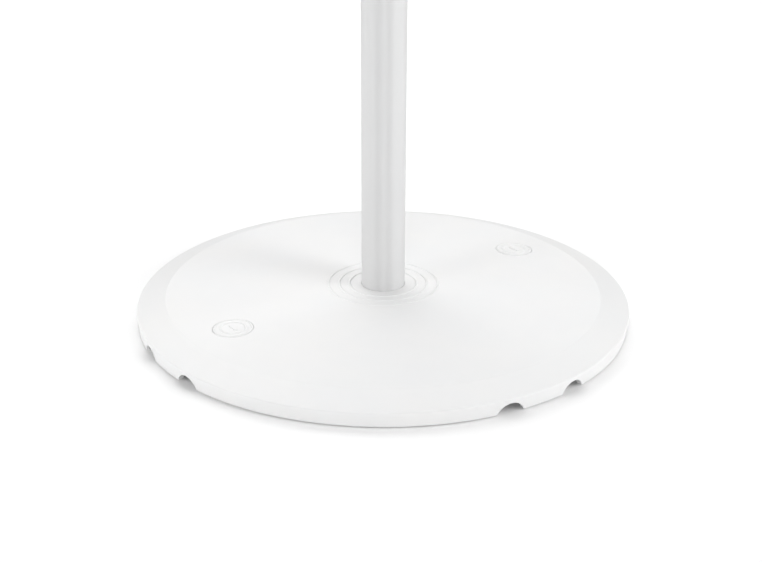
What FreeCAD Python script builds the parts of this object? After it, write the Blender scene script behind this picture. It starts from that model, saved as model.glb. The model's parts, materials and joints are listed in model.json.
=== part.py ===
import FreeCAD, Part
import os
import re
import Sketcher
from FreeCAD import Rotation, Vector

# Customer pole display: a weighted round base, a tubular pole, a swivelling neck and a tilting display head.
# Millimetres, +Z up. The origin is the centre of the plane that the feet rest on. The display faces -Y.

# ---------------------------------------------------------------------------------------------------------
# Driving sizes: name, value, meaning.
# ---------------------------------------------------------------------------------------------------------
SIZES = [
    ("floor_gap", 0.8, "gap between the rim of the base and the counter"),
    ("base_radius", 125.0, "largest radius of the base cover"),
    ("rim_draft", 0.6, "how far the rim wall leans in towards its lower edge"),
    ("rim_height", 6.8, "height of the rim wall"),
    ("rim_wall", 3.0, "thickness of the rim wall"),
    ("rim_round", 0.7, "rounding of the rim's upper edge"),
    ("bevel_width", 14.4, "width of the outer bevel, seen from above"),
    ("bevel_rise", 4.6, "rise of the outer bevel"),
    ("cone_rise", 2.4, "rise of the shallow cone up to the outer ring step"),
    ("ring_outer_radius", 28.7, "outer radius of the outer raised ring"),
    ("ring_middle_radius", 23.2, "outer radius of the middle raised ring"),
    ("ring_inner_radius", 17.9, "outer radius of the inner raised ring"),
    ("ring_relief", 0.35, "height of a raised ring"),
    ("ring_width", 1.4, "width of a raised ring"),
    ("ring_slope", 0.5, "width of each sloping side of a raised ring"),
    ("cover_wall", 2.4, "thickness of the cover's top"),
    ("notch_radius", 7.5, "radius of a cable notch's arch"),
    ("notch_height", 4.7, "height of a cable notch above the rim's lower edge"),
    ("notch_spread", 8.5, "angle from the middle of a pair of notches to each notch, degrees"),
    ("weight_inset", 21.0, "how far the weight plate's edge lies inside the cover's"),
    ("weight_thickness", 3.8, "thickness of the weight plate"),
    ("weight_gap", 0.4, "gap between the weight plate's edge and the cover above it"),
    ("foot_radius", 9.0, "radius of a rubber foot"),
    ("foot_taper", 1.0, "how much smaller a rubber foot is where it stands"),
    ("foot_inset", 14.0, "how far the feet's middles lie inside the weight plate's edge"),
    ("foot_screw_gap", 16.2, "gap between a rubber foot and a base screw's head"),
    ("screw_radius", 1.5, "thread radius of the small screws"),
    ("screw_head_radius", 2.8, "head radius of the small screws"),
    ("screw_head_height", 2.0, "head height of the small screws"),
    ("screw_bite", 2.6, "how far a base screw goes past the weight plate"),
    ("screw_slack", 0.25, "radial clearance of a hole that a screw passes through"),
    ("drive_radius", 1.1, "half the width of the drive recess in a screw head"),
    ("drive_depth", 1.1, "depth of the drive recess in a screw head"),
    ("boss_radius", 4.0, "radius of a screw boss"),
    ("cap_inset", 16.0, "how far the counter fixings lie inside the weight plate's edge"),
    ("cap_radius", 9.8, "radius of a fixing cap"),
    ("cap_gap", 0.2, "clearance round a fixing cap"),
    ("cap_thickness", 1.0, "thickness of a fixing cap's disc"),
    ("cap_ring_radius", 6.8, "outer radius of the ring on a fixing cap"),
    ("cap_bar_length", 6.5, "length of the grip bar on a fixing cap"),
    ("cap_bar_width", 1.2, "width of the grip bar on a fixing cap"),
    ("cap_stem_radius", 5.0, "radius of a fixing cap's stem"),
    ("counter_hole_radius", 3.25, "radius of a counter fixing hole"),
    ("pole_radius", 11.0, "outer radius of the pole"),
    ("pole_wall", 1.5, "wall of the pole"),
    ("pole_length", 330.0, "length of the pole tube"),
    ("pole_slack", 0.15, "clearance between the pole and the cover"),
    ("insert_length", 24.0, "length of the pole foot inside the tube"),
    ("stud_radius", 7.0, "radius of the pole foot's threaded stud"),
    ("stud_slack", 0.2, "clearance round the stud in the weight plate"),
    ("stud_tail", 0.5, "how far the stud shows below its nut"),
    ("duct_radius", 4.8, "radius of the cable duct through stud and neck"),
    ("duct_flare", 2.0, "how much the cable duct opens at the top of the pole foot"),
    ("nut_flat", 9.5, "half the width across the pole nut's flats"),
    ("nut_thickness", 3.0, "thickness of the pole nut"),
    ("stud_washer_radius", 12.0, "radius of the washer above the pole nut"),
    ("stud_washer_thickness", 1.0, "thickness of the washer above the pole nut"),
    ("bush_length", 20.0, "length of the bush inside the pole"),
    ("bush_wall", 1.95, "wall of the bush inside the pole"),
    ("bush_flange", 3.0, "thickness of the bush flange"),
    ("collar_overhang", 2.0, "how far the bush flange and the neck flange stand out past the pole"),
    ("run_clearance", 0.05, "radial clearance of a running fit"),
    ("slip_gap", 0.1, "gap between faces that slide past each other"),
    ("groove_depth", 1.0, "depth of the retaining ring's groove"),
    ("clip_thickness", 1.2, "thickness of the retaining ring"),
    ("clip_width", 2.4, "width of the retaining ring's section"),
    ("clip_mouth", 4.0, "opening of the retaining ring"),
    ("spindle_tail", 2.0, "length of the spindle below the retaining ring"),
    ("neck_washer_thickness", 1.3, "thickness of the friction washer"),
    ("neck_washer_gap", 0.7, "gap between the friction washer and the stop lugs"),
    ("lug_inset", 0.3, "how far the stop lugs lie inside the flange's edge"),
    ("lug_length", 1.8, "radial length of a stop lug"),
    ("lug_width", 2.9, "width of a stop lug"),
    ("lug_height", 1.2, "height of a stop lug"),
    ("neck_flange", 4.0, "thickness of the neck flange"),
    ("flange_chamfer", 1.0, "chamfer on the neck flange"),
    ("post_radius", 10.0, "radius of the neck's post"),
    ("hinge_rise", 23.0, "height of the tilt axis above the neck flange"),
    ("barrel_radius", 11.0, "radius of the hinge barrel"),
    ("barrel_half", 18.0, "half the length of the hinge barrel"),
    ("entry_rise", 6.5, "height of the cable entry above the neck flange"),
    ("entry_radius", 4.6, "radius of the cable entry hole"),
    ("grommet_bore", 3.2, "radius of the grommet's bore"),
    ("grommet_inset", 1.0, "gap between the grommet's sleeve and the neck's duct"),
    ("grommet_lip_radius", 6.2, "radius of the grommet's lip"),
    ("grommet_lip", 1.4, "thickness of the grommet's lip"),
    ("axle_radius", 2.5, "radius of the tilt axle"),
    ("axle_head_radius", 4.6, "radius of the tilt axle's head"),
    ("axle_head", 2.4, "thickness of the tilt axle's head"),
    ("axle_drive_radius", 1.6, "half the width of the drive recess in the axle's head"),
    ("axle_tail", 1.0, "how far the axle shows past its nut"),
    ("axle_nut_flat", 4.5, "half the width across the axle nut's flats"),
    ("axle_nut", 3.2, "thickness of the axle nut"),
    ("tilt_washer_radius", 8.0, "radius of a tilt friction washer"),
    ("tilt_washer", 0.8, "thickness of a tilt friction washer"),
    ("cheek_thickness", 3.0, "thickness of a bracket cheek"),
    ("cheek_radius", 10.0, "radius of a bracket cheek's round end"),
    ("bracket_rise", 17.0, "height of the bracket plate above the tilt axis"),
    ("bracket_plate", 2.5, "thickness of the bracket plate"),
    ("bracket_half", 34.0, "half the length of the bracket plate"),
    ("bracket_depth", 24.0, "depth of the bracket plate, front to back"),
    ("bracket_screw_inset_x", 6.0, "distance of the bracket screws from the plate's ends"),
    ("bracket_screw_inset_y", 5.0, "distance of the bracket screws from the plate's sides"),
    ("bracket_bite", 3.0, "how far a bracket screw goes past the cover's wall"),
    ("boss_floor", 1.0, "blind end of a bracket screw's boss"),
    ("head_width", 224.0, "width of the display head"),
    ("head_height", 90.0, "height of the display head"),
    ("head_depth", 44.0, "depth of the display head"),
    ("bezel_depth", 9.0, "depth of the front bezel"),
    ("seam_gap", 0.3, "width of the seam between the bezel and the rear cover"),
    ("corner_radius", 8.0, "corner radius of the head seen from the front"),
    ("edge_radius", 2.0, "rounding of the head's front and back edges"),
    ("shell_wall", 2.5, "wall of the head's shells"),
    ("front_wall", 4.0, "thickness of the bezel's front"),
    ("lip_height", 2.5, "height of the rear cover's locating lip"),
    ("lip_wall", 1.2, "thickness of the locating lip"),
    ("fit_gap", 0.2, "clearance of a part that drops into a recess"),
    ("window_side", 10.0, "width of the bezel beside the window"),
    ("window_end", 16.0, "height of the bezel above and below the window"),
    ("window_thickness", 2.2, "thickness of the window"),
    ("window_land", 4.5, "width of the ledge behind the window"),
    ("window_radius", 4.0, "corner radius of the window"),
    ("tube_side", 8.0, "how far the display tube's ends lie inside the window's"),
    ("tube_end", 7.0, "how far the display tube's long edges lie inside the window's"),
    ("tube_glass", 2.4, "thickness of one glass plate of the display tube"),
    ("tube_cavity", 2.0, "thickness of the sealed cell frame between the glass plates"),
    ("tube_overhang", 3.0, "how far the back plate shows round the front plate"),
    ("tube_seal", 3.0, "width of the cell frame's wall"),
    ("tube_clearance", 1.0, "gap between the bezel and the display tube"),
    ("pad_thickness", 2.0, "thickness of the foam pad behind the display tube"),
    ("pad_side", 9.4, "how far the foam pad's ends lie inside the display tube's"),
    ("pad_end", 6.6, "how far the foam pad's long edges lie inside the display tube's"),
    ("pin_pitch", 5.0, "spacing of the display tube's pins"),
    ("pin_size", 0.6, "thickness of a pin"),
    ("board_side", 7.0, "distance of the main board from the head's sides"),
    ("board_end", 13.0, "distance of the main board from the head's top and bottom"),
    ("board_thickness", 1.6, "thickness of the main board"),
    ("board_screw_bite", 5.0, "how far a board screw goes into its pillar"),
    ("pillar_side", 5.0, "distance of the board pillars from the board's ends"),
    ("pillar_end", 6.0, "distance of the board pillars from the board's long edges"),
    ("pillar_radius", 3.5, "radius of a board pillar"),
    ("pillar_floor", 1.0, "gap past the end of a board screw in its pillar"),
    ("cover_screw_end", 7.2, "distance of the cover screws from the head's top and bottom"),
    ("cover_screw_length", 16.0, "length of a cover screw below its head"),
    ("cover_screw_bite", 6.0, "how far a cover screw goes into the bezel"),
    ("well_radius", 3.3, "radius of the well over a cover screw"),
    ("well_wall", 1.2, "wall of a screw well"),
    ("jack_pillar_gap", 6.5, "gap between the interface socket and the board pillar beside it"),
    ("jack_well_gap", 7.5, "gap between the interface socket and the screw well beside it"),
    ("jack_width", 16.0, "width of the interface socket"),
    ("jack_depth", 13.5, "depth of the interface socket, front to back"),
    ("jack_height", 20.0, "height of the interface socket"),
    ("jack_wall", 1.6, "wall of the interface socket"),
    ("jack_floor", 2.4, "thickness of the interface socket's blind end"),
    ("latch_width", 5.4, "width of the slot for the plug's latch"),
    ("latch_depth", 1.6, "depth of the slot for the plug's latch"),
    ("latch_height", 10.0, "height of the slot for the plug's latch"),
    ("contact_pitch", 1.25, "spacing of the interface socket's contacts"),
    ("contact_width", 0.4, "width of a contact"),
    ("contact_depth", 1.0, "depth of a contact, front to back"),
    ("contact_length", 5.0, "length of a contact"),
    ("switch_offset", 40.0, "distance of the power switch's middle from the head's side"),
    ("switch_width", 13.0, "width of the power switch's body"),
    ("switch_height", 19.0, "height of the power switch's body"),
    ("switch_depth", 12.0, "depth of the power switch's body inside the cover"),
    ("switch_wall", 1.5, "wall of the power switch's body"),
    ("switch_floor", 4.5, "thickness of the closed end of the power switch's body"),
    ("switch_flange", 2.0, "width of the power switch's flange"),
    ("switch_lip", 1.5, "thickness of the power switch's flange"),
    ("terminal_width", 4.8, "width of a switch terminal"),
    ("terminal_thickness", 0.8, "thickness of a switch terminal"),
    ("terminal_length", 4.0, "length of a switch terminal"),
    ("terminal_pitch", 5.0, "spacing of the switch terminals"),
    ("rocker_gap", 0.3, "clearance at each side of the rocker"),
    ("rocker_swing", 1.2, "clearance above and below the rocker, for its swing"),
    ("rocker_throw", 8.0, "half of the rocker's travel, degrees"),
    ("rocker_depth", 4.0, "depth of the rocker behind its pivot"),
    ("rocker_inset", 1.0, "how far the rocker's pivot lies inside the cover's back face"),
    ("rocker_pin_radius", 1.0, "radius of the rocker's pivot pin"),
    ("coil_across", 60.0, "place of the supply coil along the head"),
    ("coil_up", 8.0, "height of the supply coil from the head's middle"),
    ("coil_radius", 6.0, "radius of the coil's winding"),
    ("coil_flange_radius", 8.0, "radius of the coil's bobbin flanges"),
    ("coil_flange", 1.5, "thickness of a bobbin flange"),
    ("coil_height", 10.5, "height of the coil above the board"),
    ("can_radius", 5.0, "radius of a capacitor"),
    ("can_height", 12.0, "height of a capacitor"),
    ("can_drop", 16.0, "distance of the capacitors below the head's middle"),
    ("vent_length", 32.0, "length of a vent slot"),
    ("vent_width", 2.4, "width of a vent slot"),
    ("vent_pitch", 6.0, "spacing of the vent slots"),
    ("vent_rib", 7.7, "width of the rib between the two columns of vent slots"),
    ("cut_overrun", 2.0, "how far a cutter reaches past what it cuts"),
]

# Blocks on the back of the main board: name, then place across and up from the head's middle, width,
# thickness and height. Each number joins the driving sizes as NAME_across, NAME_up and so on.
BLOCK_FIELDS = ("across", "up", "width", "thickness", "height")
BOARD_BLOCKS = {
    "controller_chip": (-8.0, 6.0, 14.0, 2.0, 14.0),
    "driver_chip_left": (-44.0, 12.0, 20.0, 2.0, 12.0),
    "driver_chip_right": (30.0, 12.0, 20.0, 2.0, 12.0),
    "memory_chip": (-8.0, -12.0, 8.0, 1.6, 6.0),
    "crystal": (10.0, -10.0, 11.0, 3.5, 4.5),
}
for block, numbers in BOARD_BLOCKS.items():
    for field, number in zip(BLOCK_FIELDS, numbers):
        SIZES.append((f"{block}_{field}", number, f"{field} of the {block}"))

# Sizes and places that follow from the driving sizes. A formula may use the names above it.
FOLLOWING = {
    "rim_top": "floor_gap + rim_height",
    "cone_edge": "rim_top + bevel_rise",
    "ring_foot": "cone_edge + cone_rise",
    "bevel_radius": "base_radius - bevel_width",
    "cone_run": "bevel_radius - ring_outer_radius",
    "weight_radius": "base_radius - weight_inset",
    "weight_top": "cone_edge + cone_rise*(bevel_radius - weight_radius)/cone_run - cover_wall - weight_gap",
    "cable_space": "weight_top - weight_thickness",
    "foot_circle": "weight_radius - foot_inset",
    "base_screw_circle": "foot_circle - foot_radius - foot_screw_gap - screw_head_radius",
    "cap_circle": "weight_radius - cap_inset",
    "pole_bore": "pole_radius - pole_wall",
    "pole_top": "weight_top + pole_length",
    "collar_radius": "pole_radius + collar_overhang",
    "bush_top": "pole_top + bush_flange",
    "spindle_radius": "pole_bore - bush_wall - run_clearance",
    "lug_outer_radius": "collar_radius - lug_inset",
    "neck_washer_radius": "lug_outer_radius - lug_length - neck_washer_gap",
    "neck_foot": "bush_top + slip_gap + neck_washer_thickness",
    "clip_top": "pole_top - bush_length - slip_gap",
    "spindle_foot": "clip_top - clip_thickness - spindle_tail",
    "flange_top": "neck_foot + neck_flange",
    "hinge_level": "flange_top + hinge_rise",
    "entry_level": "flange_top + entry_rise",
    "cheek_inside": "barrel_half + slip_gap + tilt_washer",
    "cheek_outside": "cheek_inside + cheek_thickness",
    "head_foot": "hinge_level + bracket_rise + bracket_plate",
    "head_middle": "head_foot + head_height/2",
    "head_front": "-head_depth/2",
    "head_back": "head_depth/2",
    "head_split": "head_front + bezel_depth",
    "window_width": "head_width - 2*window_side",
    "window_height": "head_height - 2*window_end",
    "tube_width": "window_width - 2*tube_side",
    "tube_height": "window_height - 2*tube_end",
    "tube_front": "head_front + front_wall + tube_clearance",
    "tube_back": "tube_front + 2*tube_glass + tube_cavity",
    "board_width": "head_width - 2*board_side",
    "board_height": "head_height - 2*board_end",
    "board_front": "tube_back + pad_thickness",
    "board_back": "board_front + board_thickness",
    "pillar_across": "board_width/2 - pillar_side",
    "pillar_up": "board_height/2 - pillar_end",
    "jack_across": "pillar_across - pillar_radius - jack_pillar_gap - jack_width/2",
    "well_outside": "well_radius + well_wall",
    "well_floor": "head_split + cover_screw_length - cover_screw_bite",
    "cover_screw_across": "jack_across - jack_width/2 - jack_well_gap - well_outside",
    "cover_screw_up": "head_height/2 - cover_screw_end",
    "bracket_screw_across": "bracket_half - bracket_screw_inset_x",
    "bracket_screw_back": "bracket_depth/2 - bracket_screw_inset_y",
    "switch_across": "switch_offset - head_width/2",
    "switch_front": "head_back - shell_wall - switch_depth",
    "rocker_axis": "head_back - rocker_inset",
    "rocker_half": "switch_height/2 - switch_wall - rocker_swing",
    "rocker_rise": "rocker_half*tan(rocker_throw)",
}

QUARTERS = (0, 90, 180, 270)          # even places round a circle, degrees from the front towards +X
CORNERS = (45, 135, 225, 315)         # the diagonal places
CAP_PLACES = (("left", -45), ("right", 135))
CAN_PLACES = (-50, -36, 34)           # the capacitors' places along the head
VENT_COUNT = 7
CONTACT_COUNT = 8
TERMINAL_COUNT = 3
ROCKER_TAPER = 0.8                    # share of the rocker's half height where its underside turns
TIGHT = 1e-4                          # what counts as the same place when edges are picked, mm
X_AXIS = Vector(1, 0, 0)
Y_AXIS = Vector(0, 1, 0)
Z_AXIS = Vector(0, 0, 1)
UPRIGHT = Rotation()
ALONG_X = Rotation(Y_AXIS, 90)
ALONG_Y = Rotation(X_AXIS, -90)
TO_THE_FRONT = Rotation(X_AXIS, 90)

doc = FreeCAD.newDocument("pole_display")
sheet = doc.addObject("Spreadsheet::Sheet", "Sizes")
for row, (alias, number, meaning) in enumerate(SIZES, 1):
    sheet.set(f"A{row}", meaning)
    sheet.set(f"B{row}", str(number))
    sheet.setAlias(f"B{row}", alias)
doc.recompute()

ALIASES = re.compile(r"\b(" + "|".join(alias for alias, _, _ in SIZES) + r")\b")
FORMULAS = re.compile(r"\b(" + "|".join(FOLLOWING) + r")\b")
nodes = {}


# ---------------------------------------------------------------------------------------------------------
# Helpers
# ---------------------------------------------------------------------------------------------------------
def sized(formula):
    """A formula written with the sizes' plain names, as an expression of the sheet."""
    text = str(formula)
    while FORMULAS.search(text):
        text = FORMULAS.sub(lambda found: f"({FOLLOWING[found.group()]})", text)
    return ALIASES.sub(r"Sizes.\1", text)


def value(formula):
    """The number that a formula comes to now."""
    return float(sheet.evalExpression(sized(formula)))


def bind(obj, **formulas):
    """Binds properties of an object to formulas of the sheet."""
    for name, formula in formulas.items():
        obj.setExpression(name, sized(formula))


def place(obj, at, turn=UPRIGHT):
    """Places an object, with its position bound to the sheet."""
    obj.Placement = FreeCAD.Placement(Vector(), turn)
    for letter, formula in zip("xyz", at):
        obj.setExpression(f"Placement.Base.{letter}", sized(formula))
    return obj


def cylinder(radius, height, at=(0, 0, 0), turn=UPRIGHT):
    obj = doc.addObject("Part::Cylinder", "Cylinder")
    bind(obj, Radius=radius, Height=height)
    return place(obj, at, turn)


def box(low, size):
    """A box from its low corner and its size."""
    obj = doc.addObject("Part::Box", "Box")
    bind(obj, Length=size[0], Width=size[1], Height=size[2])
    return place(obj, low)


def centred_box(middle, size):
    """A box from its middle and its size."""
    low = [f"({centre}) - ({extent})/2" for centre, extent in zip(middle, size)]
    return box(low, size)


def hexagon(flat, thickness, at, turn=UPRIGHT):
    """A hexagonal block, given half its width across flats."""
    obj = doc.addObject("Part::Prism", "Hexagon")
    obj.Polygon = 6
    bind(obj, Circumradius=f"({flat})/cos(30)", Height=thickness)
    return place(obj, at, turn)


def fuse(*shapes):
    obj = doc.addObject("Part::MultiFuse", "Fusion")
    obj.Shapes = list(shapes)
    obj.Refine = True
    return obj


def cut(base, *tools):
    """The base with the tools taken out of it."""
    obj = doc.addObject("Part::Cut", "Cut")
    obj.Base = base
    obj.Tool = tools[0] if len(tools) == 1 else fuse(*tools)
    obj.Refine = True
    return obj


def group(*shapes):
    """Separate identical pieces that share a node."""
    obj = doc.addObject("Part::Compound", "Group")
    obj.Links = list(shapes)
    return obj


def node(name, obj):
    """Names a finished sub-part."""
    obj.Label = name
    nodes[name] = obj
    return obj


def round_the_circle(radius, degrees, height=0):
    """A point on a circle about the pole's axis, counted from the front towards +X."""
    return (f"({radius})*sin({degrees})", f"-({radius})*cos({degrees})", height)


def outline(body, plane, corners):
    """A closed sketch on one of the body's own planes, with every corner bound to the sheet."""
    sketch = body.newObject("Sketcher::SketchObject", "Outline")
    origin_plane = [item for item in body.Origin.OriginFeatures if item.Role == plane][0]
    sketch.AttachmentSupport = [(origin_plane, "")]
    sketch.MapMode = "FlatFace"
    points = [Vector(value(across), value(up), 0) for across, up in corners]
    count = len(points)
    for index in range(count):
        sketch.addGeometry(Part.LineSegment(points[index], points[(index + 1) % count]), False)
    for index in range(count):
        sketch.addConstraint(Sketcher.Constraint("Coincident", index, 2, (index + 1) % count, 1))
    for index, (across, up) in enumerate(corners):
        point = points[index]
        for kind, formula, start in (("DistanceX", across, point.x), ("DistanceY", up, point.y)):
            number = sketch.addConstraint(Sketcher.Constraint(kind, -1, 1, index, 1, start))
            sketch.setExpression(f"Constraints[{number}]", sized(formula))
    return sketch


def revolved(corners):
    """A body turned about Z from an outline of (radius, height) corners."""
    body = doc.addObject("PartDesign::Body", "Body")
    turned = body.newObject("PartDesign::Revolution", "Turned")
    turned.Profile = outline(body, "XZ_Plane", corners)
    turned.ReferenceAxis = (turned.Profile[0], ["V_Axis"])
    turned.Angle = 360
    doc.recompute()
    return body


def prism(plane, corners, thickness, at=(0, 0, 0), turn=UPRIGHT):
    """A body padded both ways from its plane, so that its thickness is centred there."""
    body = doc.addObject("PartDesign::Body", "Body")
    pad = body.newObject("PartDesign::Pad", "Pad")
    pad.Profile = outline(body, plane, corners)
    pad.Midplane = True
    bind(pad, Length=thickness)
    doc.recompute()
    return place(body, at, turn)


def rounded(body, radius, picked):
    """Rounds the edges of a body that the test picks."""
    tip = body.Tip
    names = [f"Edge{number}" for number, edge in enumerate(tip.Shape.Edges, 1) if picked(edge)]
    fillet = body.newObject("PartDesign::Fillet", "Round")
    fillet.Base = (tip, names)
    bind(fillet, Radius=radius)
    doc.recompute()
    return body


def upright_block(width, height, front, back, corner):
    """A block across the head with its four corners rounded, from a front to a back plane."""
    half_w = f"({width})/2"
    half_h = f"({height})/2"
    corners = [(f"-{half_w}", f"-{half_h}"), (half_w, f"-{half_h}"), (half_w, half_h), (f"-{half_w}", half_h)]
    depth = f"({back}) - ({front})"
    body = prism("XZ_Plane", corners, depth, (0, f"(({front}) + ({back}))/2", "head_middle"))
    return rounded(body, corner, lambda edge: abs(edge.tangentAt(edge.FirstParameter).y) > 1 - TIGHT)


def face_edges(body, side):
    """Picks the edges round a block's front (-1) or back (+1) face, in the body's own frame."""
    limits = body.Tip.Shape.BoundBox
    face = limits.YMax if side > 0 else limits.YMin
    return lambda edge: abs(edge.BoundBox.YMin - face) < TIGHT and abs(edge.BoundBox.YMax - face) < TIGHT


def screw(at, turn, shank):
    """A pan-head screw: the head starts at the given point, and the shank runs on along the turned axis."""
    axis = turn.multVec(Z_AXIS)
    seat = [f"({start}) + screw_head_height*({step})" for start, step in zip(at, axis)]
    head = cylinder("screw_head_radius", "screw_head_height", at, turn)
    shaft = cylinder("screw_radius", shank, seat, turn)
    recess = hexagon("drive_radius", "drive_depth", at, turn)
    return cut(fuse(head, shaft), recess)


def sink_along(obj, at, turn, depth):
    """Places an object a depth behind a point, along its own axis."""
    axis = turn.multVec(Z_AXIS)
    return place(obj, [f"({start}) - ({depth})*({step})" for start, step in zip(at, axis)], turn)


# ---------------------------------------------------------------------------------------------------------
# Base
# ---------------------------------------------------------------------------------------------------------
def cone_height(radius):
    """Height of the cone's surface at a radius."""
    return f"(cone_edge + cone_rise*(bevel_radius - {radius})/cone_run)"


def cap_place(degrees):
    """The middle of a counter fixing on the cone's surface."""
    return round_the_circle("cap_circle", degrees, cone_height("cap_circle"))


def cap_turn(degrees):
    """Lays a disc on the cone, with the cone's slope taken from the sheet."""
    slope = value("atan(cone_rise/cone_run)")
    about_z = Rotation(Z_AXIS, degrees)
    lean = Rotation(X_AXIS, slope)
    return about_z.multiply(lean)


def raised_ring(radius, foot):
    """The four corners of a raised ring's section, from its outer foot inwards."""
    crest = f"{foot} + ring_relief"
    return [
        (radius, foot),
        (f"{radius} - ring_slope", crest),
        (f"{radius} - ring_width + ring_slope", crest),
        (f"{radius} - ring_width", foot),
    ]


def cover_shell():
    """The turned shell of the base cover, from its rim's lower edge over the top and back inside."""
    shell = revolved([
        ("base_radius - rim_draft", "floor_gap"),
        ("base_radius", "rim_top"),
        ("bevel_radius", "cone_edge"),
        *raised_ring("ring_outer_radius", "ring_foot"),
        *raised_ring("ring_middle_radius", "ring_foot"),
        *raised_ring("ring_inner_radius", "ring_foot"),
        ("pole_radius + pole_slack", "ring_foot"),
        ("pole_radius + pole_slack", "ring_foot - cover_wall"),
        ("ring_outer_radius", "ring_foot - cover_wall"),
        ("bevel_radius", "cone_edge - cover_wall"),
        ("base_radius - rim_wall", "rim_top - cover_wall/2"),
        ("base_radius - rim_wall - rim_draft", "floor_gap"),
    ])
    level = value("rim_top")
    inside = value("base_radius - rim_wall")

    def on_the_rim(edge):
        limits = edge.BoundBox
        return abs(limits.ZMin - level) < TIGHT and abs(limits.ZMax - level) < TIGHT and limits.XMax > inside

    return rounded(shell, "rim_round", on_the_rim)


def notch_cutter(degrees):
    """A round bar through the rim, whose crest is the arch of a cable notch."""
    bar = doc.addObject("Part::Cylinder", "NotchCutter")
    bind(bar, Radius="notch_radius", Height="rim_wall + 2*cut_overrun")
    axis_height = "floor_gap + notch_height - notch_radius"
    start = round_the_circle("base_radius - rim_wall - cut_overrun", degrees, axis_height)
    return place(bar, start, Rotation(Z_AXIS, value(degrees)).multiply(TO_THE_FRONT))


def cap_recess(degrees):
    """The hole for a fixing cap: a seat for its disc, and a way through for its stem and the fixing."""
    at = cap_place(degrees)
    turn = cap_turn(degrees)
    seat = cylinder("cap_radius + cap_gap", "cap_thickness + cut_overrun")
    through = cylinder("cap_stem_radius + cap_gap", "cover_wall + 2*cut_overrun")
    sink_along(seat, at, turn, "cap_thickness")
    sink_along(through, at, turn, "cover_wall + cut_overrun")
    return [seat, through]


def base_cover():
    bosses = []
    openings = []
    boss_height = f"{cone_height('base_screw_circle')} - cover_wall/2 - weight_top"
    for degrees in QUARTERS:
        spot = round_the_circle("base_screw_circle", degrees, "weight_top")
        bosses.append(cylinder("boss_radius", boss_height, spot))
        openings.append(cylinder("screw_radius", "screw_bite", spot))
    for middle in CORNERS:
        for side in (-1, 1):
            openings.append(notch_cutter(f"({middle} + ({side})*notch_spread)"))
    for _, degrees in CAP_PLACES:
        openings.extend(cap_recess(degrees))
    node("base_cover", cut(fuse(cover_shell(), *bosses), *openings))


def base_weight():
    plate = cylinder("weight_radius", "weight_thickness", (0, 0, "cable_space"))
    holes = [cylinder("stud_radius + stud_slack", "weight_thickness", (0, 0, "cable_space"))]
    for degrees in QUARTERS:
        spot = round_the_circle("base_screw_circle", degrees, "cable_space")
        holes.append(cylinder("screw_radius + screw_slack", "weight_thickness", spot))
    for _, degrees in CAP_PLACES:
        spot = round_the_circle("cap_circle", degrees, "cable_space")
        holes.append(cylinder("counter_hole_radius", "weight_thickness", spot))
    node("base_weight", cut(plate, *holes))


def base_screws():
    screws = []
    for degrees in QUARTERS:
        spot = round_the_circle("base_screw_circle", degrees, "cable_space - screw_head_height")
        screws.append(screw(spot, UPRIGHT, "weight_thickness + screw_bite"))
    node("base_screws", group(*screws))


def rubber_feet():
    for number, degrees in enumerate(QUARTERS, 1):
        foot = doc.addObject("Part::Cone", "Foot")
        bind(foot, Radius1="foot_radius - foot_taper", Radius2="foot_radius", Height="cable_space")
        place(foot, round_the_circle("foot_circle", degrees))
        node(f"rubber_foot_{number}", foot)


def fixing_caps():
    for side, degrees in CAP_PLACES:
        at = cap_place(degrees)
        turn = cap_turn(degrees)
        disc = revolved([
            (0, "-cap_thickness"),
            ("cap_radius", "-cap_thickness"),
            *raised_ring("cap_radius", "0"),
            *raised_ring("cap_ring_radius", "0"),
            (0, 0),
        ])
        place(disc, at, turn)
        stem = sink_along(cylinder("cap_stem_radius", "cover_wall"), at, turn, "cover_wall")
        bar = doc.addObject("Part::Box", "GripBar")
        bind(bar, Length="cap_bar_length", Width="cap_bar_width", Height="ring_relief")
        across = turn.multVec(X_AXIS)
        along = turn.multVec(Y_AXIS)
        corner = [f"({start}) - cap_bar_length/2*({dx}) - cap_bar_width/2*({dy})"
                  for start, dx, dy in zip(at, across, along)]
        place(bar, corner, turn)
        node(f"fixing_cap_{side}", fuse(disc, stem, bar))


# ---------------------------------------------------------------------------------------------------------
# Pole
# ---------------------------------------------------------------------------------------------------------
def pole_tube():
    tube = cylinder("pole_radius", "pole_length", (0, 0, "weight_top"))
    bore = cylinder("pole_bore", "pole_length", (0, 0, "weight_top"))
    node("pole_tube", cut(tube, bore))


def pole_fixing():
    """The foot pressed into the tube, whose hollow stud is clamped to the weight plate."""
    washer_foot = "cable_space - stud_washer_thickness"
    nut_foot = f"{washer_foot} - nut_thickness"
    stud_foot = f"{nut_foot} - stud_tail"
    insert_top = "weight_top + insert_length"
    node("pole_foot", revolved([
        ("duct_radius", stud_foot),
        ("stud_radius", stud_foot),
        ("stud_radius", "weight_top"),
        ("pole_bore", "weight_top"),
        ("pole_bore", insert_top),
        ("duct_radius + duct_flare", insert_top),
        ("duct_radius", f"{insert_top} - duct_flare"),
    ]))

    ring = cylinder("stud_washer_radius", "stud_washer_thickness", (0, 0, washer_foot))
    hole = cylinder("stud_radius + stud_slack", "stud_washer_thickness", (0, 0, washer_foot))
    node("pole_washer", cut(ring, hole))

    nut = hexagon("nut_flat", "nut_thickness", (0, 0, nut_foot))
    thread = cylinder("stud_radius", "nut_thickness", (0, 0, nut_foot))
    node("pole_nut", cut(nut, thread))


def stop_lug(side, foot):
    """A small block on the edge of a flange: side -1 at the front, +1 at the back."""
    low_y = "lug_outer_radius - lug_length" if side > 0 else "-lug_outer_radius"
    return box(("-lug_width/2", low_y, foot), ("lug_width", "lug_length", "lug_height"))


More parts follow.
